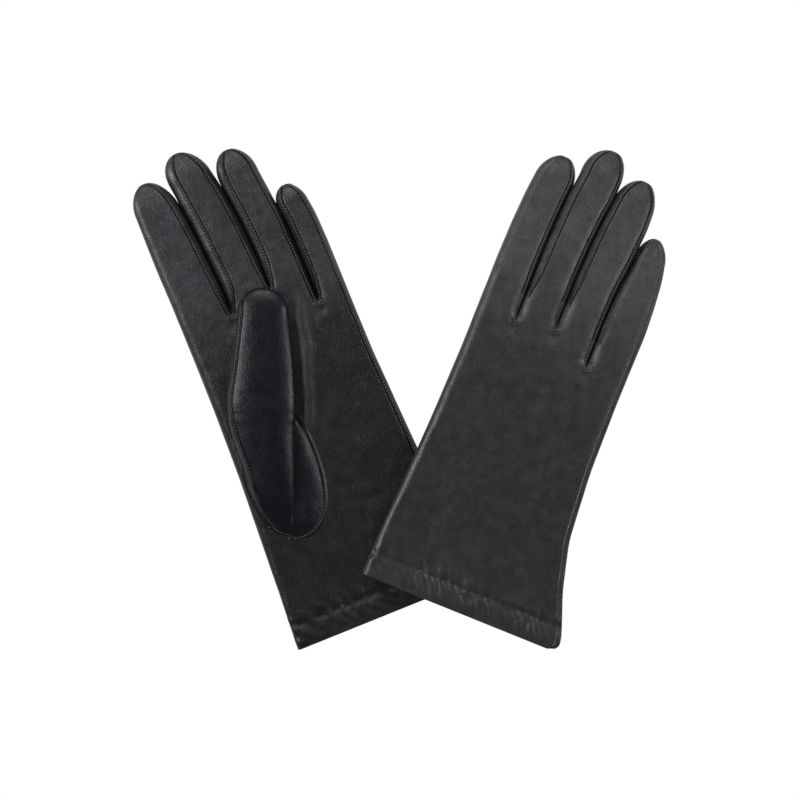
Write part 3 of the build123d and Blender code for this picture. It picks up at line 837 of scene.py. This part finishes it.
def thumb_skin(shape):
    """The thumb from the foot of its base, sunk in the palm, to its tip."""
    thumb = Thumb(shape)
    rows, cap_y, tip_y = thumb.table()
    points, count = [], THUMB_ROUND
    stations = [(t, 1.0) for t in np.arange(rows[0, 0], cap_y, STEP)]
    stations += tip_stations(cap_y, tip_y, 24)
    for t, shrink in stations:
        x0, x1, z0, z1 = [np.interp(t, rows[:, 0], rows[:, k]) for k in range(1, 5)]
        centre, wide = (x0 + x1) / 2, (x1 - x0) / 2 * shrink
        middle, half = (z0 + z1) / 2, (z1 - z0) / 2 * shrink
        for k in range(count):
            a = 2 * math.pi * k / count
            c, s = math.cos(a), math.sin(a)
            x = centre + wide * math.copysign(abs(c) ** 0.82, c)
            z = middle + half * math.copysign(abs(s) ** 0.78, s)
            points.append(np.array([x, t, z]))
    faces = [q[::-1] for q in grid_faces(len(stations), count, closed=True)]
    last = (len(stations) - 1) * count
    points.append(np.mean(points[last:], axis=0) + (0, 0.05, 0))
    for k in range(count):
        faces.append((last + (k + 1) % count, last + k, len(points) - 1))
    faces.append(tuple(range(count)))
    obj = build_mesh(shape.glove, "thumb", thumb.out(points), faces)
    own = thumb.into(shape.glove.local(coordinates(obj.data)))
    displaced(obj, thumb_folds(own, 21 if shape.glove.over else 13))
    lift = thumb_seam(own, rows, cap_y, tip_y)
    up = (0, 0, -0.001 if shape.glove.over else 0.001)
    move_vertices(obj.data, lift[:, None] * up)
    keep_rest(obj)
    return obj, thumb


def thumb_folds(own, seed):
    """Soft waves of the thumb's leather, with more of them round its fold, mm."""
    broad = value_noise(own * (1, 0.5, 0.6), 15.0, seed, 2)
    fine = value_noise(own, 6.0, seed + 1, 3)
    folds = value_noise(own * (0.4, 1, 0.4), 5.5, seed + 3, 2)
    at_fold = np.exp(-(((own[:, 1] - 4) / 14) ** 2))
    return 0.2 * broad + 0.05 * fine + 0.1 * (at_fold * folds)


def thumb_seam(own, rows, cap_y, tip_y):
    """How far the seam along the thumb lifts or sinks its upper side, mm."""
    along = np.clip(own[:, 1], rows[0, 0], rows[-1, 0])
    inward = own[:, 0] - np.interp(along, rows[:, 0], rows[:, 1])
    seam_at = THUMB_SEAM + 0.8 * smooth(own[:, 1], cap_y - 4, tip_y)
    profile = np.array(SEAM_PROFILE)
    lift = np.interp(inward - seam_at, profile[:, 0], profile[:, 1])
    upper = own[:, 2] > np.interp(along, rows[:, 0], (rows[:, 3] + rows[:, 4]) / 2)
    fade = (1 - smooth(own[:, 1], tip_y - 7, tip_y - 3)) * smooth(own[:, 1], -52, -40)
    return lift * upper * fade


def gusset(shape, thumb, tree):
    """The teardrop at the thumb's root: it rises from the seam round it to the thumb's side."""
    rows, _, _ = thumb.table()
    foot = rows[0, 0] - 1.6
    top = 1.0
    points, seam, left_seam = [], [], []
    rim = ((0.0, -0.6), (0.3, -1.0), (0.6, -0.4), (0.9, 0.45), (1.3, 0.7), (1.9, 0.35), (3.2, -0.15))
    inside = np.concatenate([np.linspace(0, 0.8, 12), [0.87, 0.92, 0.96, 0.985]])
    steps = (0.5 - 0.5 * np.cos(np.linspace(0, math.pi, 120))) * 0.992 + 0.003
    for s in steps:
        along = foot + (top - foot) * s
        edge0, edge1 = [float(np.interp(along, rows[:, 0], rows[:, k])) for k in (1, 2)]
        left = max(edge0 - 0.9, edge1 - (FOOT_ROUND + 0.3) * math.sqrt(along - foot))
        right = edge1 - 1.0 + GUSSET_WIDE * math.sin(math.pi * s**0.62) ** 0.75
        crease = edge1 - 2.2
        swell = smooth(s, 0, 0.16)
        hidden = smooth(s, 0.5, 0.72)
        places = []
        for d, h in rim[::-1]:
            places.append((left - d * (1 - 0.6 * hidden) + 1.6 * hidden, h - 1.2 * hidden))
        for q in (0.08, 0.3, 0.6, 0.9):
            places.append((left + (crease - left) * q, -0.4 + 0.4 * swell))
        for q in inside:
            places.append((crease + (right - crease) * q, 0.15 + GUSSET_SWELL * swell * (1 - q**2.6)))
        places += [(right + d, h) for d, h in rim]
        seam.append((right + 0.15, along))
        left_seam.append((left - 0.15, along))
        for x, h in places:
            spot = thumb.out((x, along, 0.0))
            hit, _ = on_surface(shape.glove, tree, [spot[:2]], 1)
            points.append(shape.glove.local(hit[0] / 1000) + (0, 0, h))
    faces = grid_faces(len(steps), len(points) // len(steps))
    obj = build_mesh(shape.glove, "gusset", points, faces)
    keep_rest(obj)
    return obj, left_seam[:44][::-1] + seam


# -------- one whole glove
def hand_loop(shape, y, inset):
    """The hand's outline at y, drawn in by inset, as a closed loop of LOOP points."""
    x0, x1, z0, z1 = shape.hand_at(max(y, 0.0))
    centre, wide = (x0 + x1) / 2, (x1 - x0) / 2
    middle, half = (z0 + z1) / 2, (z1 - z0) / 2
    v = np.linspace(0, 1, LOOP // 2 + 1)
    u = 0.45 * v + 0.55 * (0.5 - 0.5 * np.cos(np.pi * v))
    x = centre - wide + 2 * wide * u
    d = np.minimum(x - (centre - wide), centre + wide - x)
    height = half * rounding(d, half * 1.05)
    top = np.stack([x, np.full_like(x, y), middle + height], -1)
    low = np.stack([x, np.full_like(x, y), middle - height], -1)[::-1][1:-1]
    loop = np.concatenate([top, low])
    shrink = ((wide - inset) / wide, 1, (half - inset) / half)
    return (loop - (centre, y, middle)) * shrink + (centre, y, middle)


def tube(name, shape, rings, close_end=False):
    """A skin through rings of (y, inset) on the hand's outline."""
    loops = [hand_loop(shape, y, inset) for y, inset in rings]
    n = len(loops[0])
    points = np.concatenate(loops)
    faces = [q[::-1] for q in grid_faces(len(loops), n, closed=True)]
    if close_end:
        base = (len(loops) - 1) * n
        half = n // 2
        for k in range(half):
            a, b = base + k, base + k + 1
            c, d = base + (n - k - 1) % n, base + (n - k) % n
            faces.append(tuple(dict.fromkeys((a, b, c, d))))
    return build_mesh(shape.glove, name, points, [f for f in faces if len(f) > 2])


def make_glove(side):
    shape = Shape(Glove(side))
    whole = skin_with_folds(shape)
    tree = surface_tree(whole)
    hand, fingers = cut_at_folds(whole, shape)
    thumb_obj, thumb = thumb_skin(shape)
    patch, gusset_line = gusset(shape, thumb, tree)
    hem = tube("hem", shape, HEM_RINGS)
    lining_rings = [(12.5, 1.55)] + [(y, 1.6) for y in np.arange(14, min(shape.crotch) - 22, 4.0)]
    lining = tube("lining", shape, lining_rings, close_end=True)
    keep_rest(hem)
    keep_rest(lining)

    for i, finger in enumerate(FINGERS):
        finger_stitches(shape, tree, i)
        stands = [n for n in frame["nodes"] if n.startswith(f"{side}_{finger}_") and "thread" not in n]
        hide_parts(*stands)
        bend(shape, fingers[i], i)
    side_stitches(shape, tree)
    gusset_stitches(shape, thumb, tree, gusset_line)
    thumb_stitches(thumb, surface_tree(thumb_obj))

    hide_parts(side + "_hand_leather")
    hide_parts(side + "_cuff_hem", side + "_hem_thread")
    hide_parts(side + "_hand_lining")
    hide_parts(side + "_thumb_stall", side + "_thumb_lining")
    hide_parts(side + "_thumb_base")
    for obj in (patch, hand, hem, lining):
        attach(obj, side + "_hand")
    thumb_bend(thumb, thumb_obj)
    for obj in (hand, hem, *fingers):
        dress(obj, side)
    for obj in (thumb_obj, patch):
        dress(obj, "thumb" if side == "left" else "right")
    dress(lining, "lining")
    bpy.data.objects.remove(whole)


def skin_with_folds(shape):
    """The skin of palm, back and fingers, folded and gathered, with its rest places and tone, painted
    shade and painted highlight included.
    """
    whole = glove_skin(shape)
    local = shape.glove.local(coordinates(whole.data))
    ridge = thumb_bed(shape, local)
    displaced(whole, pucker(local, shape) + ridge)
    keep_rest(whole)
    y = local[:, 1]
    # painted shade: the strips in the gaps between fingers are drawn darker
    shade = gap_shade(shape, local)
    if shape.glove.side == "left":
        # The leather is drawn lighter towards the fingers.
        lighter_share = smooth(y, min(shape.crotch) - 35, min(shape.crotch) + 25)
        # The tone is lifted on the ridge beside the thumb: a painted highlight.
        keep_tone(whole, shade * np.clip(lighter_share + 0.75 * ridge, 0, 1))
    else:
        keep_tone(whole, shade * 0.36 * smooth(y, min(shape.crotch) - 45, max(shape.crotch) + 25))
    return whole


def gap_shade(shape, local):
    """Painted shade: 1 on open leather, and less on the strips down in the gaps between fingers."""
    x, y, _ = local.T
    shade = np.ones(len(x))
    for gap in range(3):
        foot = shape.crotch[gap]
        line = shape.boundary(gap, y)
        line = line + smooth(y, foot - 1, foot + 9) * (shape.between(gap, y) - line)
        down = smooth(y, foot - 3, foot + 3)
        shade *= 1 - down * (1 - smooth(np.abs(x - line), 0.8, 3.4))
    return shade


def cut_at_folds(whole, shape):
    """The hand and the four fingers as pieces of the whole skin."""
    side = shape.glove.side
    whole_normals = normals(whole.data)
    centres = np.empty(len(whole.data.polygons) * 3)
    whole.data.polygons.foreach_get("center", centres)
    lanes = lane_of_faces(whole, shape, shape.glove.local(centres.reshape(-1, 3)))
    hand = split_piece(whole, side + "_hand", lanes < 0, whole_normals)
    fingers = []
    for i, finger in enumerate(FINGERS):
        fingers.append(split_piece(whole, f"{side}_{finger}", lanes == i, whole_normals))
    return hand, fingers


def lane_of_faces(whole, shape, centres):
    """Which finger each face belongs to, or -1 for the hand."""
    attribute = whole.data.attributes["lane"]
    lanes = np.empty(len(centres), int)
    attribute.data.foreach_get("value", lanes)
    whole.data.attributes.remove(attribute)
    past_fold = centres[:, 1] > np.array(shape.folds)[lanes] - FOLD_BACK
    return np.where(past_fold, lanes, -1)


def bend(shape, obj, i):
    """Bakes a finger piece's transform into its mesh; the span round its fold, start and end, is worked
    out but not used.
    """
    glove = shape.glove
    left, right, _, _ = shape.lane(i, shape.folds[i])
    x = (left + right) / 2
    start = glove.world((x, shape.folds[i] - 3.0, 6.0))
    end = glove.world((x, shape.folds[i] + 10.0, 6.0))
    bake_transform(obj)


def thumb_bend(thumb, obj):
    """Bakes a thumb piece's transform into its mesh; the span round the thumb's fold, start and end, is
    worked out but not used.
    """
    glove = thumb.glove
    start = glove.world(thumb.out((0.0, -4.0, 12.0)))
    end = glove.world(thumb.out((0.0, 9.0, 12.0)))
    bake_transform(obj)


def sewn(name, runs, replaced):
    """Stitches along runs of (points, ups, which side of the line)."""
    cords, faces = [], []
    for places, ups, which in runs:
        stitches(places, ups, which, cords, faces)
    threads = world_mesh(name, cords, faces)
    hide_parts(replaced)
    dress(threads, "thread")
    return threads


def seam_x(shape, i, y, edge):
    """x of the seam by a finger's left (0) or right (1) edge."""
    x, _ = lane_columns(shape, i, y, 1.0)
    return float(x[SEAM_COLUMN] if edge == 0 else x[-SEAM_COLUMN - 1])


def finger_stitches(shape, tree, i):
    glove, side, finger = shape.glove, shape.glove.side, FINGERS[i]
    sign = -1 if glove.over else 1
    runs = []
    for edge, seam in enumerate(SEAM_AT[side][i]):
        if seam is None:
            continue
        outer = i == 3 and edge == 1
        for face, drop in ((1, 0.0), (-1, CROTCH_DROP)):
            foot = shape.crotch[min(i - 1 + edge, 2)] - drop
            low_y = shape.folds[3] - FOLD_BACK + 0.1 if outer else foot + 1
            ys = np.arange(low_y, shape.fingers[i][2] + 3, LINE_STEP)
            xy = [(seam_x(shape, i, y, edge), y) for y in ys]
            places, ups = on_surface(glove, tree, xy, face)
            if len(places) > 9:
                places, ups = smoothed_line(places, ups)
                runs.append((places, ups, (1 if edge else -1) * face * -sign))
    bend(shape, sewn(f"{side}_{finger}_stitches", runs, f"{side}_{finger}_thread"), i)


def side_stitches(shape, tree):
    """The seam down the hand's side, below the little finger, where it shows from above."""
    side = shape.glove.side
    face = -1 if shape.glove.over else 1
    ys = np.arange(1.2, shape.folds[3] - FOLD_BACK + 0.2, LINE_STEP)
    xy = [(seam_x(shape, 3, y, 1), y) for y in ys]
    places, ups = smoothed_line(*on_surface(shape.glove, tree, xy, face))
    threads = sewn(side + "_side_stitches", [(places, ups, -1)], side + "_side_seam_thread")
    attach(threads, side + "_hand")


def gusset_stitches(shape, thumb, tree, gusset_line):
    """The seam round the teardrop at the thumb's root."""
    glove, side = shape.glove, shape.glove.side
    line = thumb.flat(resampled(np.array(gusset_line), LINE_STEP))
    places, ups = smoothed_line(*on_surface(glove, tree, line, 1), 2)
    runs = [(places, ups, -1 if glove.over else 1)]
    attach(sewn(side + "_gusset_stitches", runs, side + "_thumb_hole_thread"), side + "_hand")


def thumb_stitches(thumb, thumb_tree):
    """The seam along the thumb, from its root to the tip."""
    glove, side = thumb.glove, thumb.glove.side
    rows, cap_y, _ = thumb.table()
    line = []
    for t in np.arange(-40.0, cap_y + 4, LINE_STEP):
        line.append((np.interp(t, rows[:, 0], rows[:, 1]) + THUMB_SEAM - 0.4, t))
    places, ups = smoothed_line(*on_surface(glove, thumb_tree, thumb.flat(line), 1))
    runs = [(places, ups, 1 if glove.over else -1)]
    thumb_bend(thumb, sewn(side + "_thumb_stitches", runs, side + "_thumb_thread"))


for glove_side in ("left", "right"):
    make_glove(glove_side)


# -------- floor, light, camera
FLOOR_HALF = 4.0  # m
FLOOR_DROP = 0.1  # the floor lies this much lower than the gloves, m
DISTANCE = 2.0  # from the gloves to the camera, m


def seen_by_camera(tree, output, lit, seen):
    """Joins two shaders: seen where the camera looks straight at it, lit for everything else."""
    path = tree.nodes.new("ShaderNodeLightPath")
    mix = tree.nodes.new("ShaderNodeMixShader")
    tree.links.new(path.outputs["Is Camera Ray"], mix.inputs[0])
    tree.links.new(lit.outputs[0], mix.inputs[1])
    tree.links.new(seen.outputs[0], mix.inputs[2])
    tree.links.new(mix.outputs[0], tree.nodes.new(output).inputs[0])


def stage_material():
    """White paper: lit softly, and plain white where the camera sees it."""
    material = bpy.data.materials.new("white_paper")
    material.use_nodes = True
    tree = material.node_tree
    tree.nodes.clear()
    white = node(tree, "ShaderNodeEmission", Color=(1, 1, 1, 1), Strength=1.0)
    paper = node(tree, "ShaderNodeBsdfDiffuse", Color=(0.8, 0.8, 0.8, 1))
    seen_by_camera(tree, "ShaderNodeOutputMaterial", paper, white)
    return material


def studio_world():
    """Dim cool light from all sides, and plain white behind the gloves."""
    world = bpy.data.worlds.new("studio")
    bpy.context.scene.world = world
    world.use_nodes = True
    tree = world.node_tree
    tree.nodes.clear()
    dim = node(tree, "ShaderNodeBackground", Color=(0.93, 0.96, 1.0, 1), Strength=0.15)
    bright = node(tree, "ShaderNodeBackground", Color=(1, 1, 1, 1), Strength=1.0)
    seen_by_camera(tree, "ShaderNodeOutputWorld", dim, bright)


low, high = CAD_BOX
span = max(high[0] - low[0], high[1] - low[1])
work = bmesh.new()
bmesh.ops.create_grid(work, x_segments=2, y_segments=2, size=FLOOR_HALF)
floor_mesh = bpy.data.meshes.new("floor")
work.to_mesh(floor_mesh)
work.free()
floor = new_object("floor", floor_mesh)
floor.location = (0, 0, low[2] - FLOOR_DROP)
floor_mesh.materials.append(stage_material())
studio_world()


def softbox(name, place, size, power, colour=(1, 1, 1)):
    light = bpy.data.lights.new(name, "AREA")
    light.shape = "RECTANGLE"
    light.size, light.size_y = size
    light.energy = power
    light.color = colour
    obj = new_object(name, light)
    obj.location = place
    obj.rotation_euler = (-Vector(place)).to_track_quat("-Z", "Y").to_euler()


softbox("key", (-1.2, 0.25, 1.0), (0.5, 0.9), 17.0)
softbox("top", (-0.1, 1.3, 1.1), (0.9, 0.5), 9.0)
softbox("fill", (1.25, 0.1, 1.0), (0.4, 0.9), 9.0, (0.96, 0.98, 1.0))

camera = bpy.data.cameras.new("camera")
VIEW_WIDTH = 1.49 * span  # the picture's width at the height of the gloves, m
camera.sensor_width = 36
camera.lens = camera.sensor_width * DISTANCE / VIEW_WIDTH
camera.clip_end = 20
eye = new_object("camera", camera)
eye.location = (0, 0, high[2] / 2 + DISTANCE)
bpy.context.scene.camera = eye
bpy.context.scene.view_settings.view_transform = "Standard"
